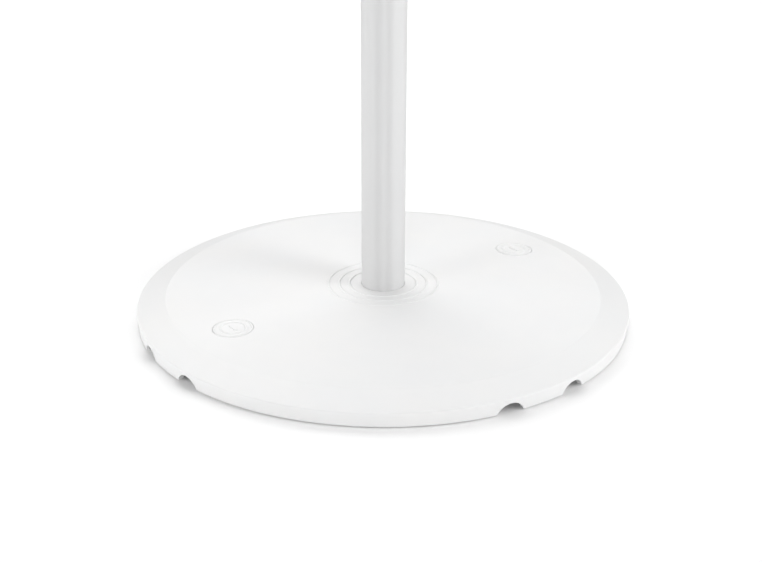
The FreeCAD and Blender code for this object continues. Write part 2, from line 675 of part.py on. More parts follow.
def pole_bush():
    bush = revolved([
        ("spindle_radius + run_clearance", "pole_top - bush_length"),
        ("pole_bore", "pole_top - bush_length"),
        ("pole_bore", "pole_top"),
        ("collar_radius", "pole_top"),
        ("collar_radius", "bush_top"),
        ("spindle_radius + run_clearance", "bush_top"),
    ])
    node("pole_bush", fuse(bush, stop_lug(1, "bush_top")))


# ---------------------------------------------------------------------------------------------------------
# Neck, which pans on the pole
# ---------------------------------------------------------------------------------------------------------
def neck():
    turned = revolved([
        ("duct_radius", "spindle_foot"),
        ("spindle_radius", "spindle_foot"),
        ("spindle_radius", "clip_top - clip_thickness"),
        ("spindle_radius - groove_depth", "clip_top - clip_thickness"),
        ("spindle_radius - groove_depth", "clip_top"),
        ("spindle_radius", "clip_top"),
        ("spindle_radius", "neck_foot"),
        ("collar_radius", "neck_foot"),
        ("collar_radius", "flange_top - flange_chamfer"),
        ("collar_radius - flange_chamfer", "flange_top"),
        ("post_radius", "flange_top"),
        ("post_radius", "hinge_level"),
        ("duct_radius", "hinge_level"),
    ])
    barrel = cylinder("barrel_radius", "2*barrel_half", ("-barrel_half", 0, "hinge_level"), ALONG_X)
    lug = stop_lug(-1, "neck_foot - lug_height")
    duct_end = "hinge_level - barrel_radius + cut_overrun"
    duct = cylinder("duct_radius", f"{duct_end} - spindle_foot", (0, 0, "spindle_foot"))
    bearing = "axle_radius + run_clearance"
    axle_hole = cylinder(bearing, "2*barrel_half", ("-barrel_half", 0, "hinge_level"), ALONG_X)
    entry = cylinder("entry_radius", "post_radius + cut_overrun", (0, 0, "entry_level"), ALONG_Y)
    node("neck", cut(fuse(turned, barrel, lug), duct, axle_hole, entry))


def neck_washer():
    foot = "bush_top + slip_gap"
    washer = cylinder("neck_washer_radius", "neck_washer_thickness", (0, 0, foot))
    hole = cylinder("spindle_radius", "neck_washer_thickness", (0, 0, foot))
    node("neck_washer", cut(washer, hole))


def retaining_ring():
    foot = "clip_top - clip_thickness"
    ring = cylinder("spindle_radius - groove_depth + clip_width", "clip_thickness", (0, 0, foot))
    seat = cylinder("spindle_radius - groove_depth", "clip_thickness", (0, 0, foot))
    mouth = box(("-clip_mouth/2", 0, foot), ("clip_mouth", "collar_radius", "clip_thickness"))
    node("retaining_ring", cut(ring, seat, mouth))


def cable_grommet():
    sleeve_start = (0, "duct_radius + grommet_inset", "entry_level")
    sleeve = cylinder("entry_radius", "post_radius - duct_radius", sleeve_start, ALONG_Y)
    lip = cylinder("grommet_lip_radius", "grommet_lip", (0, "post_radius", "entry_level"), ALONG_Y)
    bore = cylinder("grommet_bore", "2*post_radius", (0, 0, "entry_level"), ALONG_Y)
    around_post = cylinder("post_radius", "4*entry_radius", (0, 0, "entry_level - 2*entry_radius"))
    node("cable_grommet", cut(fuse(cut(lip, around_post), sleeve), bore))


# ---------------------------------------------------------------------------------------------------------
# Hinge bracket and axle, which tilt with the head
# ---------------------------------------------------------------------------------------------------------
def bracket_screw_places():
    """The four screws that hold the bracket, at the underside of its plate."""
    return [(f"({x})*bracket_screw_across", f"({y})*bracket_screw_back", "head_foot - bracket_plate")
            for x in (-1, 1) for y in (-1, 1)]


def hinge_bracket():
    pieces = [centred_box((0, 0, "head_foot - bracket_plate/2"),
                          ("2*bracket_half", "bracket_depth", "bracket_plate"))]
    for start in ("cheek_inside", "-cheek_outside"):
        pieces.append(cylinder("cheek_radius", "cheek_thickness", (start, 0, "hinge_level"), ALONG_X))
        web = ("cheek_thickness", "2*cheek_radius", "bracket_rise")
        pieces.append(box((start, "-cheek_radius", "hinge_level"), web))
    holes = [cylinder("axle_radius", "2*cheek_outside", ("-cheek_outside", 0, "hinge_level"), ALONG_X)]
    for spot in bracket_screw_places():
        holes.append(cylinder("screw_radius + screw_slack", "bracket_plate", spot))
    node("hinge_bracket", cut(fuse(*pieces), *holes))


def bracket_screws():
    screws = []
    for x, y, foot in bracket_screw_places():
        under = (x, y, f"{foot} - screw_head_height")
        screws.append(screw(under, UPRIGHT, "bracket_plate + shell_wall + bracket_bite"))
    node("bracket_screws", group(*screws))


def tilt_axle():
    far_end = "cheek_outside + axle_nut + axle_tail"
    shank_start = (f"-({far_end})", 0, "hinge_level")
    shank = cylinder("axle_radius", f"{far_end} + cheek_outside", shank_start, ALONG_X)
    head = cylinder("axle_head_radius", "axle_head", ("cheek_outside", 0, "hinge_level"), ALONG_X)
    recess_start = ("cheek_outside + axle_head - drive_depth", 0, "hinge_level")
    recess = hexagon("axle_drive_radius", "drive_depth", recess_start, ALONG_X)
    node("tilt_axle", cut(fuse(shank, head), recess))

    nut_start = ("-(cheek_outside + axle_nut)", 0, "hinge_level")
    nut = hexagon("axle_nut_flat", "axle_nut", nut_start, ALONG_X)
    thread = cylinder("axle_radius", "axle_nut", nut_start, ALONG_X)
    node("tilt_nut", cut(nut, thread))


def tilt_washers():
    for name, start in (("right", "barrel_half + slip_gap"), ("left", "-cheek_inside")):
        ring = cylinder("tilt_washer_radius", "tilt_washer", (start, 0, "hinge_level"), ALONG_X)
        hole = cylinder("axle_radius", "tilt_washer", (start, 0, "hinge_level"), ALONG_X)
        node(f"tilt_washer_{name}", cut(ring, hole))


# ---------------------------------------------------------------------------------------------------------
# Display head: bezel, window and rear cover
# ---------------------------------------------------------------------------------------------------------
def head_points(across, up):
    """Four places about the middle of the head."""
    return [(f"({x})*({across})", f"head_middle + ({z})*({up})") for x in (-1, 1) for z in (-1, 1)]


def cover_screw_points():
    return head_points("cover_screw_across", "cover_screw_up")


def pillar_points():
    return head_points("pillar_across", "pillar_up")


def front_bezel():
    outer = upright_block("head_width", "head_height", "head_front", "head_split", "corner_radius")
    rounded(outer, "edge_radius", face_edges(outer, -1))
    hollow = upright_block("head_width - 2*shell_wall", "head_height - 2*shell_wall",
                           "head_front + front_wall", "head_split", "corner_radius - shell_wall")
    rebate = upright_block("window_width + 2*fit_gap", "window_height + 2*fit_gap",
                           "head_front", "head_front + window_thickness", "window_radius")
    view = upright_block("window_width - 2*window_land", "window_height - 2*window_land",
                         "head_front", "head_front + front_wall", "window_radius/2")
    bosses = []
    holes = []
    for x, z in cover_screw_points():
        boss_start = (x, "head_front + front_wall", z)
        bosses.append(cylinder("boss_radius", "bezel_depth - front_wall", boss_start, ALONG_Y))
        screw_end = (x, "head_split - cover_screw_bite", z)
        holes.append(cylinder("screw_radius", "cover_screw_bite", screw_end, ALONG_Y))
    node("front_bezel", cut(fuse(cut(outer, hollow, rebate, view), *bosses), *holes))


def display_window():
    pane = upright_block("window_width", "window_height", "head_front", "head_front + window_thickness",
                         "window_radius - fit_gap")
    node("display_window", pane)


def rear_shell():
    """The open box of the rear cover."""
    outer = upright_block("head_width", "head_height", "head_split + seam_gap", "head_back", "corner_radius")
    rounded(outer, "edge_radius", face_edges(outer, 1))
    hollow = upright_block("head_width - 2*shell_wall", "head_height - 2*shell_wall",
                           "head_split", "head_back - shell_wall", "corner_radius - shell_wall")
    return cut(outer, hollow)


def locating_lip():
    """The rib inside the rear cover's edge that reaches into the bezel."""
    inset = "2*shell_wall + 2*fit_gap"
    front = "head_split - lip_height"
    back = "head_split + lip_height"
    outside = upright_block(f"head_width - ({inset})", f"head_height - ({inset})",
                            front, back, "corner_radius - shell_wall - fit_gap")
    root = upright_block("head_width - shell_wall", "head_height - shell_wall",
                         "head_split + seam_gap", back, "corner_radius - shell_wall/2")
    inside = upright_block(f"head_width - ({inset}) - 2*lip_wall", f"head_height - ({inset}) - 2*lip_wall",
                           front, back, "corner_radius - shell_wall - fit_gap - lip_wall/2")
    return cut(fuse(outside, root), inside)


def rear_cover():
    pieces = [rear_shell(), locating_lip()]
    holes = []
    into_the_wall = "(head_back - shell_wall/2)"
    for x, z in pillar_points():
        pillar = (x, "board_back", z)
        pieces.append(cylinder("pillar_radius", f"{into_the_wall} - board_back", pillar, ALONG_Y))
        holes.append(cylinder("screw_radius", "board_screw_bite + pillar_floor", pillar, ALONG_Y))
    for x, z in cover_screw_points():
        well = (x, "head_split", z)
        pieces.append(cylinder("well_outside", f"{into_the_wall} - head_split", well, ALONG_Y))
        holes.append(cylinder("screw_radius + screw_slack", "head_depth", (x, "head_front", z), ALONG_Y))
        holes.append(cylinder("well_radius", "head_depth", (x, "well_floor", z), ALONG_Y))
        # the lip makes way for the bezel's boss
        lip_front = (x, "head_split - lip_height", z)
        holes.append(cylinder("boss_radius + fit_gap", "lip_height", lip_front, ALONG_Y))
    for x, y, _ in bracket_screw_places():
        pieces.append(cylinder("boss_radius", "shell_wall + bracket_bite + boss_floor", (x, y, "head_foot")))
        holes.append(cylinder("screw_radius", "shell_wall + bracket_bite", (x, y, "head_foot")))
    holes.extend(vent_slots())
    jack_hole = ("jack_width + 2*fit_gap", "jack_depth + 2*fit_gap", "2*shell_wall + 2*cut_overrun")
    holes.append(centred_box(("jack_across", "board_back + jack_depth/2", "head_foot"), jack_hole))
    switch_hole = ("switch_width", "2*shell_wall", "switch_height")
    holes.append(centred_box(("switch_across", "head_back - shell_wall/2", "head_middle"), switch_hole))
    node("rear_cover", cut(fuse(*pieces), *holes))


def vent_slots():
    """Two columns of slots through the back wall."""
    slots = []
    for index in range(VENT_COUNT):
        rise = f"head_middle + ({index} - {VENT_COUNT - 1}/2)*vent_pitch"
        for side in (-1, 1):
            across = f"({side})*(vent_rib + vent_length)/2"
            slots.append(centred_box((across, "head_back - shell_wall/2", rise),
                                     ("vent_length", "2*shell_wall", "vent_width")))
    return slots


def cover_screws():
    screws = []
    for x, z in cover_screw_points():
        screws.append(screw((x, "well_floor + screw_head_height", z), TO_THE_FRONT, "cover_screw_length"))
    node("cover_screws", group(*screws))


# ---------------------------------------------------------------------------------------------------------
# Display head: what it holds
# ---------------------------------------------------------------------------------------------------------
def display_tube():
    """The vacuum display: two glass plates on a sealed cell frame, with pins along its lower edge."""
    cell_width = "tube_width - 2*tube_overhang"
    cell_height = "tube_height - 2*tube_overhang"
    front_middle = (0, "tube_front + tube_glass/2", "head_middle")
    node("vfd_front_glass", centred_box(front_middle, (cell_width, "tube_glass", cell_height)))
    cell_middle = (0, "tube_front + tube_glass + tube_cavity/2", "head_middle")
    frame = centred_box(cell_middle, (cell_width, "tube_cavity", cell_height))
    opening = (f"{cell_width} - 2*tube_seal", "tube_cavity", f"{cell_height} - 2*tube_seal")
    node("vfd_cell_frame", cut(frame, centred_box(cell_middle, opening)))
    back_middle = (0, "tube_back - tube_glass/2", "head_middle")
    node("vfd_back_glass", centred_box(back_middle, ("tube_width", "tube_glass", "tube_height")))
    pad = centred_box((0, "tube_back + pad_thickness/2", "head_middle"),
                      ("tube_width - 2*pad_side", "pad_thickness", "tube_height - 2*pad_end"))
    node("vfd_foam_pad", pad)


def tube_pins():
    """Pins from the display tube's lower edge back to the board."""
    count = int(value("tube_width - 2*tube_overhang - 2*tube_seal")/value("pin_pitch"))
    reach = "board_front - tube_back + tube_glass"
    pins = []
    for index in range(count):
        across = f"({index} - {count - 1}/2)*pin_pitch - pin_size/2"
        foot = "head_middle - tube_height/2 - pin_size"
        pins.append(box((across, "tube_back - tube_glass", foot), ("pin_size", reach, "pin_size")))
    node("vfd_pins", group(*pins))


def main_board():
    board = centred_box((0, "board_front + board_thickness/2", "head_middle"),
                        ("board_width", "board_thickness", "board_height"))
    holes = []
    screws = []
    for x, z in pillar_points():
        spot = (x, "board_front", z)
        holes.append(cylinder("screw_radius + screw_slack", "board_thickness", spot, ALONG_Y))
        head = (x, "board_front - screw_head_height", z)
        screws.append(screw(head, ALONG_Y, "board_thickness + board_screw_bite"))
    node("main_board", cut(board, *holes))
    node("board_screws", group(*screws))


def board_blocks():
    """Chips and the crystal, standing on the back of the board."""
    for name in BOARD_BLOCKS:
        across, up, width, thickness, height = [f"{name}_{field}" for field in BLOCK_FIELDS]
        middle = (across, f"board_back + {thickness}/2", f"head_middle + {up}")
        node(name, centred_box(middle, (width, thickness, height)))


def capacitors():
    cans = [cylinder("can_radius", "can_height", (x, "board_back", "head_middle - can_drop"), ALONG_Y)
            for x in CAN_PLACES]
    node("capacitors", group(*cans))


def supply_coil():
    """A drum-wound coil with a bobbin flange at each end."""
    foot = ("coil_across", "board_back", "head_middle + coil_up")
    top = ("coil_across", "board_back + coil_height - coil_flange", "head_middle + coil_up")
    winding = cylinder("coil_radius", "coil_height - coil_flange", foot, ALONG_Y)
    flanges = [cylinder("coil_flange_radius", "coil_flange", spot, ALONG_Y) for spot in (foot, top)]
    node("supply_coil", fuse(winding, *flanges))


def interface_socket():
    """A modular socket on the back of the board, open through the underside of the head."""
    left = "jack_across - jack_width/2"
    inside = "board_back + jack_wall"
    depth = "(jack_depth - 2*jack_wall - latch_depth)"
    block = box((left, "board_back", "head_foot"), ("jack_width", "jack_depth", "jack_height"))
    cavity = box((f"{left} + jack_wall", inside, "head_foot"),
                 ("jack_width - 2*jack_wall", depth, "jack_height - jack_floor"))
    latch = box(("jack_across - latch_width/2", f"{inside} + {depth}", "head_foot"),
                ("latch_width", "latch_depth", "latch_height"))
    node("interface_socket", cut(block, cavity, latch))
    contacts = []
    for index in range(CONTACT_COUNT):
        across = f"jack_across + ({index} - {CONTACT_COUNT - 1}/2)*contact_pitch - contact_width/2"
        contacts.append(box((across, inside, "head_foot + jack_height - jack_floor - contact_length"),
                            ("contact_width", "contact_depth", "contact_length")))
    node("socket_contacts", group(*contacts))


def switch_body():
    """The body of a rocker switch that snaps into the back of the rear cover."""
    left = "switch_across - switch_width/2"
    foot = "head_middle - switch_height/2"
    body = box((left, "switch_front", foot), ("switch_width", "shell_wall + switch_depth", "switch_height"))
    flange = box((f"{left} - switch_flange", "head_back", f"{foot} - switch_flange"),
                 ("switch_width + 2*switch_flange", "switch_lip", "switch_height + 2*switch_flange"))
    cavity = box((f"{left} + switch_wall", "switch_front + switch_floor", f"{foot} + switch_wall"),
                 ("switch_width - 2*switch_wall", "head_depth", "switch_height - 2*switch_wall"))
    pin_start = (f"{left} + switch_wall/2", "rocker_axis", "head_middle")
    pin_hole = cylinder("rocker_pin_radius + run_clearance", "switch_width - switch_wall", pin_start, ALONG_X)
    node("switch_body", cut(fuse(body, flange), cavity, pin_hole))


def switch_terminals():
    terminals = []
    for index in range(TERMINAL_COUNT):
        rise = f"head_middle + ({index} - {TERMINAL_COUNT - 1}/2)*terminal_pitch - terminal_thickness/2"
        terminals.append(box(("switch_across - terminal_width/2", "switch_front - terminal_length", rise),
                             ("terminal_width", "terminal_length", "terminal_thickness")))
    node("switch_terminals", group(*terminals))


def power_rocker():
    """The rocker, which rests with its lower half pressed in."""
    profile = [
        (0, "-rocker_depth"),
        (f"{ROCKER_TAPER}*rocker_half", "-rocker_depth/2"),
        ("rocker_half", 0),
        ("rocker_half", "switch_lip + rocker_rise"),
        (0, "switch_lip"),
        ("-rocker_half", "switch_lip + rocker_rise"),
        ("-rocker_half", 0),
        (f"-{ROCKER_TAPER}*rocker_half", "-rocker_depth/2"),
    ]
    rocker = prism("XZ_Plane", profile, "switch_width - 2*switch_wall - 2*rocker_gap")
    # the outline's first axis becomes up, its second axis points out of the back of the head
    stand = Rotation(-Z_AXIS, -X_AXIS, Y_AXIS, "XYZ")
    lean = Rotation(X_AXIS, -value("rocker_throw"))
    place(rocker, ("switch_across", "rocker_axis", "head_middle"), lean.multiply(stand))
    pin_half = "(switch_width/2 - switch_wall/2 - run_clearance)"
    pin_start = (f"switch_across - {pin_half}", "rocker_axis", "head_middle")
    pin = cylinder("rocker_pin_radius", f"2*{pin_half}", pin_start, ALONG_X)
    node("power_rocker", fuse(rocker, pin))


# ---------------------------------------------------------------------------------------------------------
# Build, check and write
# ---------------------------------------------------------------------------------------------------------
BUILDERS = (
    base_cover, base_weight, base_screws, rubber_feet, fixing_caps,
    pole_tube, pole_fixing, pole_bush,
    neck, neck_washer, retaining_ring, cable_grommet,
    hinge_bracket, bracket_screws, tilt_axle, tilt_washers,
    front_bezel, display_window, rear_cover, cover_screws,
    display_tube, tube_pins, main_board, board_blocks, capacitors, supply_coil,
    interface_socket, switch_body, switch_terminals, power_rocker,
)
for build in BUILDERS:
    build()
doc.recompute()

for obj in doc.Objects:
    if "Invalid" in obj.State or "Error" in obj.State:
        raise RuntimeError(f"{obj.Label} did not build: {obj.State}")
for name, obj in nodes.items():
    if obj.Shape.isNull() or not obj.Shape.isValid() or obj.Shape.Volume <= 0:
        raise RuntimeError(f"{name} has no sound shape")

os.makedirs("parts", exist_ok=True)
for name, obj in nodes.items():
    obj.Shape.exportStep(os.path.join("parts", f"{name}.step"))
    print(f"{name:20s} solids {len(obj.Shape.Solids):2d}  volume {obj.Shape.Volume:10.1f}")
print(f"{len(nodes)} nodes")
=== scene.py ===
import json
import math

import bpy
from mathutils import Euler, Matrix, Vector


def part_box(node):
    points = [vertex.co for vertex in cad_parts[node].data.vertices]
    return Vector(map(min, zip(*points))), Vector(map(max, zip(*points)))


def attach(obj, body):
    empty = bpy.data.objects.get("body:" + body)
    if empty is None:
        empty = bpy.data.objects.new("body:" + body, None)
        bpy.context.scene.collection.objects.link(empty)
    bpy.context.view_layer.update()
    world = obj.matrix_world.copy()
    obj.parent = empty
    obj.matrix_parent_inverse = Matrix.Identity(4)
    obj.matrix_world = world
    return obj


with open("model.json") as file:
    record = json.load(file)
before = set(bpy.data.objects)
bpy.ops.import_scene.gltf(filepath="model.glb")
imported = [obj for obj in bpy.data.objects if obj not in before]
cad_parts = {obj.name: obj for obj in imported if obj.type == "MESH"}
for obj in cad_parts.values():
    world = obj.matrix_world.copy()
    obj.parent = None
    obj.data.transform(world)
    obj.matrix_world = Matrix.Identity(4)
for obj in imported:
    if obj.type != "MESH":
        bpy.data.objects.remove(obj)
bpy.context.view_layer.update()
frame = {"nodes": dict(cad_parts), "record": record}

MM = 0.001

# The photograph's camera, in radii of the base, and how it is turned
CAMERA_AZIMUTH = math.radians(9.5)
CAMERA_DISTANCE = 5.0
CAMERA_HEIGHT = 2.278
CAMERA_PITCH = 0.4077
CAMERA_YAW = 0.00173
CAMERA_ROLL = 0.003
CAMERA_LENS = 62.745

# The studio: soft boxes all round, the widest behind the pole, before a white wall that gives no light.
# Each soft box: name, degrees to the right of the camera, degrees up, distance and width in metres, watts
SOFT_BOXES = [
    ("back_wall", 180, 50, 1.8, 2.2, 23.2),
    ("back_left_box", -145, 45, 1.8, 1.4, 6.2),
    ("far_left_box", -110, 18, 1.6, 0.7, 3.7),
    ("far_right_box", 105, 18, 1.6, 0.7, 4.6),
    ("high_right_box", 62, 45, 1.8, 0.9, 6.2),
    ("right_box", 60, 18, 1.6, 0.5, 6.0),
    ("side_right_box", 80, 18, 1.6, 0.7, 3.8),
    ("left_box", -55, 18, 1.6, 0.5, 7.0),
    ("side_left_box", -80, 18, 1.6, 0.7, 4.8),
    ("front_box", 0, 18, 1.6, 0.7, 6.6),
    ("high_front_box", 0, 55, 1.9, 1.6, 2.6),
]

# The display tube's picture: characters across and down, and the dots of one character
CHARACTERS = (20, 2)
DOTS = (5, 7)
TUBE_MARGIN = 7 * MM  # from the tube's frame to the characters
CHARACTER_GAP = (0.13, 0.10)  # before a character's first dots, in shares of its place
CHARACTER_FILL = (0.74, 0.80)  # how much of its place a character fills, across and up
DOT_FILL = 0.8  # how much of its place a dot fills
DOT_HEIGHT = 0.10 * MM
DOT_SLOPE = 0.03 * MM

# The tube's filaments
FILAMENT_SHARES = (0.24, 0.5, 0.76)  # where they run, in shares of the tube's height
FILAMENT_RADIUS = 0.06 * MM
FILAMENT_GAP = 1.2 * MM  # from the back glass
FILAMENT_INSET = 3.2 * MM  # from the ends of the tube's frame
FILAMENT_SAG = 0.15 * MM

# The border printed on the window: its outer and inner edges, in from the window's own, and its corners
BORDER_EDGES = (0.6 * MM, 6.0 * MM)
BORDER_CORNER = 1.5 * MM
BORDER_DEPTH = 0.10 * MM  # in front of the window's back face


# ---------------------------------------------------------------------------------------------------------
# Studio
# ---------------------------------------------------------------------------------------------------------
def link(obj):
    bpy.context.scene.collection.objects.link(obj)
    return obj


def round_the_pole(azimuth, distance, height):
    """A point about the pole's axis: azimuth 0 is in front of the display, and it grows towards +X."""
    return Vector((distance * math.sin(azimuth), -distance * math.cos(azimuth), height))


def base_radius():
    low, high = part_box("base_cover")
    return (high.x - low.x) / 2


def make_camera():
    data = bpy.data.cameras.new("camera")
    data.lens = CAMERA_LENS
    data.clip_start = 0.02
    data.clip_end = 50.0
    camera = link(bpy.data.objects.new("camera", data))
    radius = base_radius()
    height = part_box("base_cover")[0].z + CAMERA_HEIGHT * radius
    place = Matrix.Translation(round_the_pole(CAMERA_AZIMUTH, CAMERA_DISTANCE * radius, height))
    turn = Euler((math.pi / 2 - CAMERA_PITCH, 0, CAMERA_AZIMUTH + CAMERA_YAW)).to_matrix().to_4x4()
    camera.matrix_world = place @ turn @ Matrix.Rotation(CAMERA_ROLL, 4, "Z")
    bpy.context.scene.camera = camera


def make_room():
    world = bpy.data.worlds.new("studio")
    world.use_nodes = True
    world.node_tree.nodes["Background"].inputs["Color"].default_value = (1, 1, 1, 1)
    sight = world.cycles_visibility
    sight.diffuse = sight.glossy = sight.transmission = sight.scatter = False
    bpy.context.scene.world = world
    bpy.context.scene.view_settings.view_transform = "Standard"


def make_soft_boxes():
    middle = round_the_pole(0, 0, base_radius() / 2)
    for name, right, up, distance, width, watts in SOFT_BOXES:
        data = bpy.data.lights.new(name, "AREA")
        data.shape = "DISK"
        data.size = width
        data.energy = watts
        lamp = link(bpy.data.objects.new(name, data))
        azimuth = CAMERA_AZIMUTH + math.radians(right)
        level = distance * math.cos(math.radians(up))
        rise = distance * math.sin(math.radians(up))
        lamp.location = middle + round_the_pole(azimuth, level, rise)
        lamp.rotation_mode = "QUATERNION"
        lamp.rotation_quaternion = (lamp.location - middle).to_track_quat("Z", "Y")


def make_floor():
    """A round white table top."""
    radius, sides = 1.1, 96
    mesh = bpy.data.meshes.new("floor")
    turns = [2 * math.pi * side / sides for side in range(sides)]
    mesh.from_pydata([round_the_pole(turn, radius, 0) for turn in turns], [], [list(range(sides))])
    floor = link(bpy.data.objects.new("floor", mesh))
    look = Look("floor", (0.94, 0.94, 0.94), 0.9, {"Specular IOR Level": 0.0})
    mesh.materials.append(look.material)


# ---------------------------------------------------------------------------------------------------------
# Materials
# ---------------------------------------------------------------------------------------------------------
class Look:
    """A Principled material whose patterns are laid out in the object's own space, in millimetres."""

    def __init__(self, name, colour, roughness, shader=None):
        self.material = bpy.data.materials.new(name)
        self.material.use_nodes = True
        self.nodes = self.material.node_tree.nodes
        self.links = self.material.node_tree.links
        self.shader = self.nodes["Principled BSDF"]
        self.shader.inputs["Base Color"].default_value = (*colour, 1)
        self.shader.inputs["Roughness"].default_value = roughness
        for socket, number in (shader or {}).items():
            self.shader.inputs[socket].default_value = number

    def space(self, stretch=(1, 1, 1)):
        place = self.nodes.new("ShaderNodeTexCoord")
        mapping = self.nodes.new("ShaderNodeMapping")
        mapping.inputs["Scale"].default_value = stretch
        self.links.new(place.outputs["Object"], mapping.inputs["Vector"])
        return mapping.outputs["Vector"]

    def noise(self, size, detail=2.0, stretch=(1, 1, 1)):
        """Noise whose grains are about size millimetres across."""
        made = self.nodes.new("ShaderNodeTexNoise")
        made.inputs["Scale"].default_value = 1 / (size * MM)
        made.inputs["Detail"].default_value = detail
        made.inputs["Roughness"].default_value = 0.5
        self.links.new(self.space(stretch), made.inputs["Vector"])
        return made.outputs["Fac"]

    def cells(self, size, feature="F1"):
        """The distance field of cells about size millimetres across."""
        made = self.nodes.new("ShaderNodeTexVoronoi")
        made.feature = feature
        made.inputs["Scale"].default_value = 1 / (size * MM)
        self.links.new(self.space(), made.inputs["Vector"])
        return made.outputs["Distance"]

    def spread(self, source, low, high, start=0.0, end=1.0):
        """The source's range from start to end, stretched to run from low to high."""
        made = self.nodes.new("ShaderNodeMapRange")
        made.inputs["From Min"].default_value = start
        made.inputs["From Max"].default_value = end
        made.inputs["To Min"].default_value = low
        made.inputs["To Max"].default_value = high
        self.links.new(source, made.inputs["Value"])
        return made.outputs["Result"]

    def colour(self, source, first, second, start=0.35, end=0.65):
        """Lays two colours over the surface, mixed by the source."""
        made = self.nodes.new("ShaderNodeMix")
        made.data_type = "RGBA"
        made.inputs["A"].default_value = (*first, 1)
        made.inputs["B"].default_value = (*second, 1)
        self.links.new(self.spread(source, 0, 1, start, end), made.inputs["Factor"])
        self.links.new(made.outputs["Result"], self.shader.inputs["Base Color"])

    def roughness(self, source, low, high):
        self.links.new(self.spread(source, low, high, 0.3, 0.7), self.shader.inputs["Roughness"])

    def bump(self, source, depth):
        """Relief of a depth in millimetres. Calls add up."""
        made = self.nodes.new("ShaderNodeBump")
        made.inputs["Distance"].default_value = depth * MM
        self.links.new(source, made.inputs["Height"])
        before = self.shader.inputs["Normal"].links
        if before:
            self.links.new(before[0].from_socket, made.inputs["Normal"])
        self.links.new(made.outputs["Normal"], self.shader.inputs["Normal"])


def moulded_white(name, shade, roughness, grain):
    """Moulded white plastic with an etched grain of a size in millimetres."""
    look = Look(name, (shade, shade, shade), roughness)
    drift = look.noise(35, detail=3)
    warm = (shade, shade * 0.997, shade * 0.992)
    cool = (shade * 0.985, shade * 0.988, shade * 0.99)
    look.colour(drift, warm, cool)
    look.roughness(look.noise(9, detail=4), roughness - 0.04, roughness + 0.05)
    look.bump(look.noise(grain, detail=3), 0.012)
    look.bump(look.noise(22, detail=1), 0.02)
    return look.material


def powder_coat(name, shade, roughness):
    """Powder coat with its orange-peel skin."""
    look = Look(name, (shade, shade, shade), roughness, {"Coat Weight": 0.3, "Coat Roughness": 0.25})
    look.colour(look.noise(28, detail=3), (shade,) * 3, (shade * 0.985, shade * 0.988, shade * 0.992))
    look.roughness(look.noise(6, detail=3), roughness - 0.05, roughness + 0.05)
    look.bump(look.noise(1.6, detail=1), 0.008)
    look.bump(look.noise(0.35, detail=2), 0.003)
    return look.material


def drawn_tube(name, shade, roughness):
    """Satin paint on a drawn tube, which spreads its highlights up and down."""
    look = Look(name, (shade, shade, shade), roughness, {"Anisotropic": 0.9, "Anisotropic Rotation": 0.25,
                                                         "Specular IOR Level": 1.0})
    round_z = look.nodes.new("ShaderNodeTangent")
    round_z.direction_type = "RADIAL"
    round_z.axis = "Z"
    look.links.new(round_z.outputs["Tangent"], look.shader.inputs["Tangent"])
    look.colour(look.noise(28, detail=3), (shade,) * 3, (shade * 0.985, shade * 0.988, shade * 0.992))
    look.bump(look.noise(1.6, detail=1), 0.004)
    look.bump(look.noise(0.35, detail=2), 0.002)
    return look.material


def plated(name, colour, roughness, along=(1, 1, 1)):
    """Zinc-plated or rolled metal: fine drawn lines and cloudy patches."""
    look = Look(name, colour, roughness, {"Metallic": 1.0})
    worn = tuple(part * 0.78 for part in colour)
    look.colour(look.noise(3.5, detail=5), colour, worn)
    look.roughness(look.noise(1.2, detail=5), roughness - 0.1, roughness + 0.16)
    look.bump(look.noise(0.25, detail=3, stretch=along), 0.006)
    return look.material


def rubber(name, shade):
    look = Look(name, (shade, shade, shade), 0.85)
    dusty = (shade + 0.05, shade + 0.05, shade + 0.045)
    look.colour(look.noise(5, detail=5), (shade,) * 3, dusty)
    look.bump(look.noise(0.4, detail=4), 0.03)
    return look.material


def fibre():
    look = Look("friction_fibre", (0.2, 0.19, 0.18), 0.9)
    look.colour(look.noise(0.35, detail=5), (0.24, 0.21, 0.18), (0.08, 0.08, 0.08))
    look.bump(look.noise(0.5, detail=4), 0.04)
    return look.material


def smoked_acrylic():
    look = Look("smoked_window", (0.46, 0.50, 0.50), 0.04, {"Transmission Weight": 1.0, "IOR": 1.49})
    look.roughness(look.noise(14, detail=5), 0.02, 0.07)
    return look.material


def float_glass():
    look = Look("tube_glass", (0.82, 0.90, 0.88), 0.04, {"Transmission Weight": 1.0, "IOR": 1.5})
    look.roughness(look.noise(10, detail=4), 0.02, 0.08)
    return look.material


def frit():
    look = Look("tube_frame", (0.2, 0.21, 0.22), 0.7)
    look.colour(look.noise(0.6, detail=4), (0.26, 0.27, 0.28), (0.14, 0.15, 0.16))
    look.bump(look.noise(0.5, detail=4), 0.03)
    return look.material


def foam():
    look = Look("foam", (0.06, 0.06, 0.062), 0.95)
    # The cells' hollows are painted darker than their rims: painted shade in the pores.
    look.colour(look.cells(0.9), (0.03, 0.03, 0.03), (0.12, 0.12, 0.12), 0.0, 0.8)
    look.bump(look.cells(0.9), 0.25)
    return look.material


def circuit_board():
    """Green mask over copper runs."""
    look = Look("circuit_board", (0.03, 0.2, 0.1), 0.35, {"Coat Weight": 0.4, "Coat Roughness": 0.2})
    look.colour(look.cells(3.2, "DISTANCE_TO_EDGE"), (0.06, 0.30, 0.15), (0.02, 0.15, 0.08), 0.05, 0.09)
    look.bump(look.cells(3.2, "DISTANCE_TO_EDGE"), 0.05)
    return look.material


